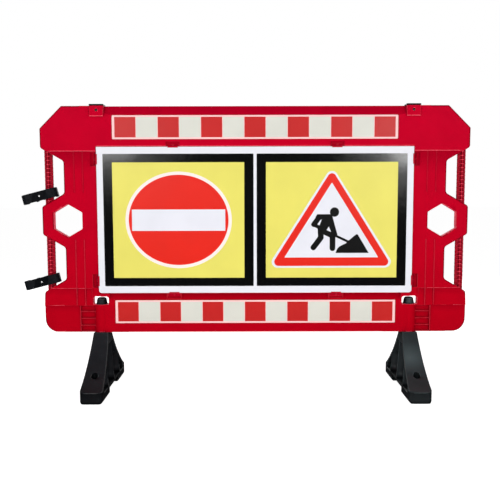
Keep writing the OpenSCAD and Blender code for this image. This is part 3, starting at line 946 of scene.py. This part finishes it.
@dataclass
class Moulding:
    """The red panel with its side bars and board clips."""

    outline_rounds: tuple[float, ...] = (4.5 * MM, 2 * MM)
    ledge_rounds: tuple[float, ...] = (2.5 * MM, 1.6 * MM)
    fine_rounds: tuple[float, ...] = (0.8 * MM, 0.4 * MM)
    bar_round: Round = Round(0.5 * MM, wear_and_light=0.5, under=0.7, over=0.4)
    ends_from: float = 582 * MM
    through: Span = (-10.5 * MM, 13.9 * MM)
    hole_place: Span = (659 * MM, 604.5 * MM)
    hole_reach: float = 60 * MM
    window_place: Span = (549 * MM, 320.5 * MM)
    window_reach: Span = (29 * MM, 15.5 * MM)
    hole_lean: float = 0.7
    hole_reflection: float = 1.0
    rung_highlight: float = 0.75
    rib_highlight: float = 0.1
    rib_drop: float = 0.25 * MM
    cuts: tuple[float, ...] = (
        64.5 * MM, 193.5 * MM, 322.5 * MM, 451.5 * MM, 549.5 * MM, 612 * MM, 680 * MM, 706 * MM
    )

    def build(self) -> Iterator[Piece]:
        """Rounds the panel, the four bars and the board clips and gives them the red finishes.

        Yields:
            Each piece.
        """
        yield self.panel()
        fine = Rounding((self.bar_round,))
        for side in SIDES:
            for level in ("upper", "lower"):
                yield self.bar(f"{side}_{level}_bar", fine)
        clips = fine.copy("board_clips", "board_clip_set")
        yield settle(clips, Body.BARRIER, Slot.MOULDING, SHADED_RED_MOULDING, "board_clips")

    def panel(self) -> Piece:
        """Rounds the panel: its outline most, then its ledges, then all other edges.

        Returns:
            The dressed panel.
        """
        cuts = [(0, PANEL_MIDDLE + sign * place) for place in self.cuts for sign in (-1, 1)]
        # The outline rounds carry painted shade on their sides and tops and a painted highlight where they
        # face down; the ledge rounds carry a painted highlight below; the fine rounds are worn pale.
        rounds = [
            *(Round(r, 4, wear_and_light=-0.9, under=0.7, over=-0.1, picks=self.outline) for r in self.outline_rounds),
            *(Round(r, 3, share=0.45, picks=self.ledge) for r in self.ledge_rounds),
            *(Round(r, wear_and_light=0.36, under=0.5, over=0.3) for r in self.fine_rounds),
        ]
        panel = Rounding(tuple(rounds)).copy("panel", "panel_moulding", cuts)
        # Painted reflection: the walls of the hand holes and of the windows are marked pale.
        paint_light(panel, self.hole_reflection, self.in_holes)
        return settle(panel, Body.BARRIER, Slot.MOULDING, RED_MOULDING, "panel")

    def bar(self, node: str, fine: Rounding) -> Piece:
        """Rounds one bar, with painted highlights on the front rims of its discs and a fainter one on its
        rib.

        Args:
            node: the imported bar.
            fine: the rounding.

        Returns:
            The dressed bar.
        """
        bar = fine.copy(node, node + "_moulding", [(0, middle_of(node)[0]), (1, 0.0)])
        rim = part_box(node)[0].y + self.rib_drop
        # Painted highlights: faint on the rib's front faces, strong on the discs' front rims.
        paint_light(bar, self.rib_highlight, lambda centres, normals: normals[:, 1] < -FACING)
        paint_light(bar, self.rung_highlight, lambda centres, normals: centres[:, 1] < rim)
        return settle(bar, Body.BARRIER, Slot.MOULDING, SHADED_RED_MOULDING, node)

    def in_holes(self, centres: np.ndarray, normals: np.ndarray) -> np.ndarray:
        """Which faces are walls of a hand hole or of a window above a foot.

        Args:
            centres: the faces' centres.
            normals: their normals.

        Returns:
            True for each face that is one.
        """
        aside = np.abs(centres[:, 0] - PANEL_MIDDLE)
        hand = np.hypot(aside - self.hole_place[0], centres[:, 2] - self.hole_place[1]) < self.hole_reach
        off = np.abs(np.stack([aside, centres[:, 2]], 1) - self.window_place)
        window = (off < self.window_reach).all(1)
        return (hand | window) & (np.abs(normals[:, 1]) < self.hole_lean)

    def outline(self, edge: Edge) -> bool:
        """Whether an edge is part of the panel's outline at its ends, where a through wall meets a face.

        Args:
            edge: the edge.

        Returns:
            True if it is.
        """
        ends = abs((edge.verts[0].co.x + edge.verts[1].co.x) / 2 - PANEL_MIDDLE) > self.ends_from
        wall, face = sorted(edge.link_faces, key=lambda side: abs(side.normal.y))
        depths = [corner.co.y for corner in wall.verts]
        through = min(depths) < self.through[0] and max(depths) > self.through[1]
        return ends and through and abs(face.normal.y) > FACING

    def ledge(self, edge: Edge) -> bool:
        """Whether an edge is the lower front edge of a part that overhangs."""
        front, under = sorted(edge.link_faces, key=lambda side: side.normal.y)
        return front.normal.y < -FACING and under.normal.z < -FACING


@dataclass
class Signs:
    """The white board and its two printed sheets."""

    board_round: float = 0.8 * MM
    film: float = 0.12 * MM
    lift: float = 0.01 * MM
    border: Span = (32.5 * MM, 29.5 * MM)
    field_corner: float = 1 * MM
    ring: Span = (374 * MM, 339.5 * MM)
    disc: Span = (351 * MM, 317 * MM)
    bar: Span = (328 * MM, 75 * MM)
    bar_corner: float = 0.5 * MM
    rise: float = 1.2 * MM
    rim_triangle: tuple[float, ...] = (228 * MM, -168 * MM, 190 * MM, 21 * MM)
    red_triangle: tuple[float, ...] = (214 * MM, -161.5 * MM, 177 * MM, 15 * MM)
    white_triangle: tuple[float, ...] = (166 * MM, -131.5 * MM, 132 * MM, 1.5 * MM)

    def build(self) -> Iterator[Piece]:
        """Builds the board, dresses the sheets and prints both signs.

        Yields:
            Each piece.
        """
        board = Rounding((Round(self.board_round),)).copy("sign_board", "board_plate")
        yield settle(board, Body.BARRIER, Slot.BOARD, WHITE_BOARD, "sign_board")
        for side in SIDES:
            yield dress(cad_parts[side + "_sign_sheet"], BLACK_SHEET)
            half = np.ptp(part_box(side + "_sign_sheet"), axis=0)[[0, 2]] / 2 - self.border
            yield self.print(side, "field", 1, YELLOW_FIELD, rectangle(-half, half, self.field_corner))
        yield from self.no_entry()
        yield from self.road_works()

    def print(self, side: str, name: str, depth: int, finish: Finish, *outlines: np.ndarray) -> Piece:
        """Prints outlines, drawn from the sheet's middle in metres, as one film layer.

        Args:
            side: left or right.
            name: the layer's name.
            depth: the layer's number, counted from the sheet.
            finish: its finish.
            outlines: each later one is a little thicker.

        Returns:
            The printed layer.
        """
        sheet = side + "_sign_sheet"
        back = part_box(sheet)[0].y - (depth - 1) * self.film
        plates = Plates()
        for i, outline in enumerate(outlines):
            plates.add(outline + middle_of(sheet)[[0, 2]], back, back - self.film - i * self.lift)
        return settle(plates.made(f"{side}_sign_{name}"), Body.BARRIER, Slot.SHEET, finish)

    def no_entry(self) -> Iterator[Piece]:
        """Prints the red disc with its white rim and bar.

        Yields:
            Each layer.
        """
        middle = np.array((0, self.rise))
        half = np.array(self.bar) / 2
        bar = rectangle(middle - half, middle + half, self.bar_corner)
        yield self.print("left", "rim", 2, SIGN_RIM, ellipse(middle, *self.ring))
        yield self.print("left", "disc", 3, SIGN_RED, ellipse(middle, *self.disc))
        yield self.print("left", "bar", 4, SIGN_WHITE, bar)

    def road_works(self) -> Iterator[Piece]:
        """Prints the warning triangle and the figure that digs.

        Yields:
            Each layer.
        """
        yield self.print("right", "rim", 2, SIGN_WHITE, triangle(*self.rim_triangle))
        yield self.print("right", "triangle", 3, SIGN_RED, triangle(*self.red_triangle))
        yield self.print("right", "ground", 4, SIGN_WHITE, triangle(*self.white_triangle))
        yield self.print("right", "digger", 5, SIGN_BLACK, *self.digger())

    def digger(self) -> list[np.ndarray]:
        """Draws the figure in millimetres from the sheet's middle.

        Returns:
            The outlines of its arms, legs and shovel, its head, its body and the heap, in metres.
        """
        limbs = [
            ((-43, 11.5), (-62, -14.5), 9.5),
            ((-64, -15), (-38.5, -27.5), 6.5),
            ((-33, -38), (2.5, -54), 9.5),
            ((3.8, -52.5), (3.8, -99), 10),
            ((-38.5, -34.5), (-37.5, -61.5), 10),
            ((-37.5, -61.5), (-63.5, -96), 10),
            ((-68, -15.5), (58.5, -75.5), 4.3),
        ]
        head, head_size, corner = (10, 28.5), (32.5, 33), 0.6
        shoulder = [(-50.5, 21), (-1, 21), (-1, 5), (-33.5, 3), (-51, -2), (-56.5, 11.5)]
        torso = [
            (-3, 21), (4.5, 10.5), (-9.7, -22.5), (-19.5, -38), (-28.5, -50.5),
            (-48, -49), (-49, -28), (-43, -20), (-34.5, 3.4), (-39, 21),
        ]
        front_arm = [(-6.5, 16), (3, 12.5), (21, -51), (14, -60.5), (-2, -52.5), (-2.3, -39), (-9.7, -22.5)]
        heap = [
            (14.5, -115.7), (20.5, -101), (28, -93), (39.5, -87), (50.5, -82),
            (61, -71.5), (79, -56), (88.8, -49.2), (93, -51), (132, -115.7),
        ]
        outlines = [stroke(*limb) for limb in limbs]
        outlines.append(ellipse(head, *head_size, steps=48))
        for shape in (shoulder, torso, front_arm, heap):
            outlines.append(arc_outline(shape, [corner] * len(shape), steps=4))
        return [outline * MM for outline in outlines]


@dataclass
class ReflectiveStrips:
    """The two strips of red and silver squares."""

    carrier_round: float = 0.35 * MM

    def build(self) -> Iterator[Piece]:
        """Rounds both carriers and dresses the squares.

        Yields:
            Each piece.
        """
        rounding = Rounding((Round(self.carrier_round),))
        for level in ("top", "bottom"):
            carrier = rounding.copy(level + "_strip", level + "_strip_carrier")
            yield settle(carrier, Body.BARRIER, Slot.CARRIER, CARRIER, level + "_strip")
            yield dress(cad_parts[level + "_red_squares"], RED_FILM)
            yield dress(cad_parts[level + "_silver_squares"], SILVER_FILM)


@dataclass
class BlackPieces:
    """The feet, the coupling clips and the lamp caps."""

    wide_round: float = 2 * MM
    fine_round: float = 0.8 * MM
    foot_cut: float = 60 * MM
    pin_place: float = 147 * MM
    pin_reach: float = 11.8 * MM
    pin_shade: float = -1.0
    eye_from: float = 24 * MM
    eye_facing: float = 0.4
    eye_highlight: float = 0.14

    def build(self) -> Iterator[Piece]:
        """Rounds each black piece, gives it its finish, and marks painted shade in the feet's pin holes and a
        painted highlight on the clips' eyes.

        Yields:
            Each piece.
        """
        for body, finish in ((Body.LEFT_FOOT, BLACK_MOULDING), (Body.RIGHT_FOOT, LIT_BLACK_MOULDING)):
            middle = middle_of(body.value)[0]
            foot = self.piece(body.value, body, finish, self.wide_round, [(0, middle), (2, self.foot_cut)])
            # Painted shade: the faces inside the pin holes are marked dark.
            paint_light(foot, self.pin_shade, partial(self.in_pin_holes, middle))
            yield foot
        for body in (Body.UPPER_CLIP, Body.LOWER_CLIP):
            middle = middle_of(body.value)[0]
            cuts = [(1, 0.0), (0, middle - self.eye_from), (0, middle + self.eye_from)]
            clip = self.piece(body.value, body, BLACK_CLIP, self.wide_round, cuts)
            # Painted highlight: the front faces of the clip's eyes are marked a little pale.
            paint_light(clip, self.eye_highlight, partial(self.on_eyes, middle))
            yield clip
        for side in SIDES:
            yield self.piece(side + "_lamp_cap", Body.BARRIER, BLACK_CLIP, self.fine_round, [], 0.0)

    def piece(
        self, node: str, body: Body, finish: Finish, widest: float, cuts: Sequence[Cut], wear_and_light: float = 1.0
    ) -> Piece:
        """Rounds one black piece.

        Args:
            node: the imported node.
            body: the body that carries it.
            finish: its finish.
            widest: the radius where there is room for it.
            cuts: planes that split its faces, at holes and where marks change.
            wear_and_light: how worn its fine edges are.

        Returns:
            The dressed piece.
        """
        rounds = Round(widest, 4, *[wear_and_light / 2] * 3), Round(self.fine_round, 2, *[wear_and_light] * 3)
        made = Rounding(rounds).copy(node, node + "_moulding", cuts)
        return settle(made, body, Slot.BLACK, finish, node)

    def in_pin_holes(self, middle: float, centres: np.ndarray, normals: np.ndarray) -> np.ndarray:
        """Which faces lie inside the upright pin holes in a foot's toes."""
        return np.hypot(centres[:, 0] - middle, np.abs(centres[:, 1]) - self.pin_place) < self.pin_reach

    def on_eyes(self, middle: float, centres: np.ndarray, normals: np.ndarray) -> np.ndarray:
        """Which front faces of a clip lie on its eyes, away from its middle."""
        return (np.abs(centres[:, 0] - middle) > self.eye_from) & (normals[:, 1] < -self.eye_facing)


@dataclass(frozen=True)
class SoftLamp:
    """A square-edged soft lamp that lights the scene and isn't seen itself, or only as a gleam."""

    name: str
    place: Sequence[float]
    target: Sequence[float]
    size: Span
    radiance: float
    mirrored: bool = True

    def build(self) -> None:
        """Hangs the lamp, aimed at its target, with the power that its area and radiance give."""
        data = bpy.data.lights.new(self.name, "AREA")
        data.shape = "RECTANGLE"
        data.size, data.size_y = self.size
        data.energy = self.radiance * math.pi * self.size[0] * self.size[1]
        lamp = new_object(self.name, data)
        lamp.location = self.place
        heading = Vector(self.target) - Vector(self.place)
        lamp.rotation_euler = heading.to_track_quat("-Z", "Y").to_euler()
        lamp.visible_camera = False
        lamp.visible_glossy = self.mirrored


@dataclass
class Studio:
    """A plain pale room: a white floor, soft lamps and the camera."""

    focal_px: float = 704.5
    image_px: float = 500
    axis_row: float = 264.1
    pitch: float = math.radians(5.54)
    eye_height: float = 690.6 * MM
    distance: float = 2482 * MM
    eye_offset: float = -18.4 * MM
    roll: float = 0.0022
    sensor: float = 36
    floor_half: float = 40
    floor_tone: float = 0.9
    floor_roughness: float = 0.9
    floor_glow: float = 0.9
    sky: float = 0.1
    gleam: float = 0.03
    lamps: tuple[SoftLamp, ...] = (
        SoftLamp("floor_lamp", (0, -0.725, 0.01), (0, -0.725, 1), (5.0, 0.75), 1.1, False),
        SoftLamp("front_lamp", (0, -3.0, 1.25), (0, 0, 0.75), (3.2, 1.5), 2.55, False),
        SoftLamp("left_lamp", (-1.6, -3.0, 1.31), (0, 0, 0.7), (1.5, 0.62), 6.8),
        SoftLamp("right_lamp", (1.64, -3.0, 1.25), (0, 0, 0.7), (1.1, 0.62), 10.5),
        SoftLamp("back_lamp", (0, 3.2, 1.4), (0, 0, 0.5), (3.0, 1.6), 3.6),
    )

    def build(self) -> None:
        """Sets the camera, the lamps, the sky and the floor."""
        self.camera()
        for lamp in self.lamps:
            lamp.build()
        self.world()
        self.floor()
        bpy.context.scene.view_settings.view_transform = "Standard"

    def camera(self) -> None:
        """Stands the camera where the picture was taken, pitched down and rolled a little."""
        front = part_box("left_sign_sheet")[0].y
        data = bpy.data.cameras.new("camera")
        data.sensor_width = self.sensor
        data.lens = self.focal_px / self.image_px * self.sensor
        data.shift_y = (self.axis_row - self.image_px / 2) / self.image_px
        eye = new_object("camera", data)
        eye.location = (PANEL_MIDDLE + self.eye_offset, front - self.distance, self.eye_height)
        heading = Matrix.Rotation(math.pi / 2 - self.pitch, 3, "X") @ Matrix.Rotation(-self.roll, 3, "Z")
        eye.rotation_euler = heading.to_euler()
        bpy.context.scene.camera = eye

    def level(self, g: Graph, seen: float, mirrored: float, plain: float) -> Socket:
        """A strength that depends on who looks.

        Args:
            g: the node tree.
            seen: the strength for the camera.
            mirrored: the strength in a gleam.
            plain: the strength for the light that falls on other surfaces.

        Returns:
            The strength.
        """
        path = g.node("ShaderNodeLightPath").outputs
        unseen = g.node("ShaderNodeMix", {0: path["Is Glossy Ray"], 2: plain, 3: mirrored}).outputs[0]
        return g.node("ShaderNodeMix", {0: path["Is Camera Ray"], 2: unseen, 3: seen}).outputs[0]

    def world(self) -> None:
        """Makes a dim sky that is white where it is seen."""
        world = bpy.data.worlds.new("studio")
        g = Graph(world)
        strength = self.level(g, 1.0, self.gleam, self.sky)
        sky = g.node("ShaderNodeBackground", {"Color": WHITE, "Strength": strength})
        g.node("ShaderNodeOutputWorld", {"Surface": sky.outputs[0]})
        bpy.context.scene.world = world

    def floor(self) -> None:
        """Lays a wide pale floor that glows where it is seen and keeps the shadow."""
        half = self.floor_half
        corners = [(-half, -half, 0), (half, -half, 0), (half, half, 0), (-half, half, 0)]
        mesh = bpy.data.meshes.new("floor")
        mesh.from_pydata(corners, [], [(0, 1, 2, 3)])
        g = Graph(bpy.data.materials.new("pale_floor"))
        tone = self.level(g, self.floor_tone, self.gleam, self.floor_tone)
        glow = {"Emission Color": WHITE, "Emission Strength": self.level(g, self.floor_glow, 0.0, 0.0)}
        mesh.materials.append(g.finish(tone, self.floor_roughness, 0.0, glow))
        new_object("floor", mesh)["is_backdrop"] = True


def write_sizes() -> None:
    """Turns the solids' box and the dressed part's box into plain lists."""
    boxes = {"cad": CAD_BOX, "visual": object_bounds()}
    plain = {name: [[float(v) for v in corner] for corner in box] for name, box in boxes.items()}


def main() -> None:
    """Builds each sub-assembly in order, reports its pieces, and sets up the studio."""
    logging.basicConfig(level=logging.INFO, format="%(name)s %(message)s")
    for assembly in (Moulding(), Signs(), ReflectiveStrips(), BlackPieces()):
        for piece in assembly.build():
            LOG.info("%s: %s, %d faces", type(assembly).__name__, piece.name, len(piece.data.polygons))
    Studio().build()
    write_sizes()


if __name__ == "__main__":
    main()
